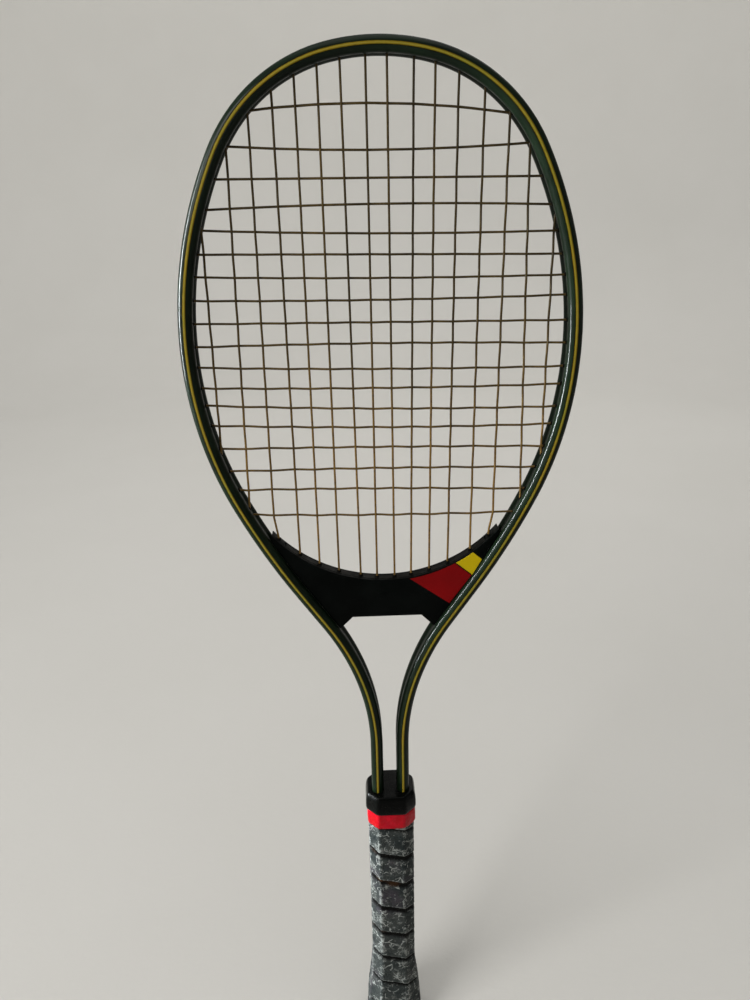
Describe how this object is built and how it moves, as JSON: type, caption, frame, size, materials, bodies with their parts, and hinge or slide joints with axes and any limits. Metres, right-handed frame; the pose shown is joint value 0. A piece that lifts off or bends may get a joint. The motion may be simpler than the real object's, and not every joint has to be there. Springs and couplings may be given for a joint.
{
  "type": "tennis racket",
  "caption": "Tennis racket with an oval aluminium head, open throat with a moulded bridge, woven strings and a wrapped octagonal grip.",
  "frame": {"origin": "centre of the butt end, where the racket would stand upright on a level surface", "axes": "+Z along the handle towards the crown of the head; +X to the right of the string bed seen from the front; -Y is the front face of the string bed"},
  "size_m": [0.2228, 0.0394, 0.686],
  "materials": {
    "tube": "glossy dark bottle-green coating",
    "strip": "satin moulded nylon",
    "bridge": "satin black moulded plastic",
    "rivet": "plain",
    "red_decal": "gloss",
    "yellow_decal": "gloss",
    "string": "amber, slightly translucent",
    "foam": "rigid foam",
    "cap": "satin black moulded plastic",
    "grip": "worn dark synthetic leather",
    "tape": "glossy vinyl"
  },
  "bodies": {
    "root": {"frame_tube": "tube", "head_grommet_strip": "strip", "left_grommet_strip": "strip", "right_grommet_strip": "strip", "throat_bridge": "bridge", "bridge_grommet_strip": "strip", "left_bridge_rivet": "rivet", "right_bridge_rivet": "rivet", "front_red_flash": "red_decal", "front_yellow_flash": "yellow_decal", "rear_red_flash": "red_decal", "rear_yellow_flash": "yellow_decal", "main_string": "string", "cross_string": "string", "front_pallet": "foam", "rear_pallet": "foam", "shaft_spacer": "foam", "butt_cap": "cap", "butt_door": "cap", "grip_wrap": "grip", "finishing_tape": "tape", "shaft_collar": "cap"}
  },
  "joints": []
}
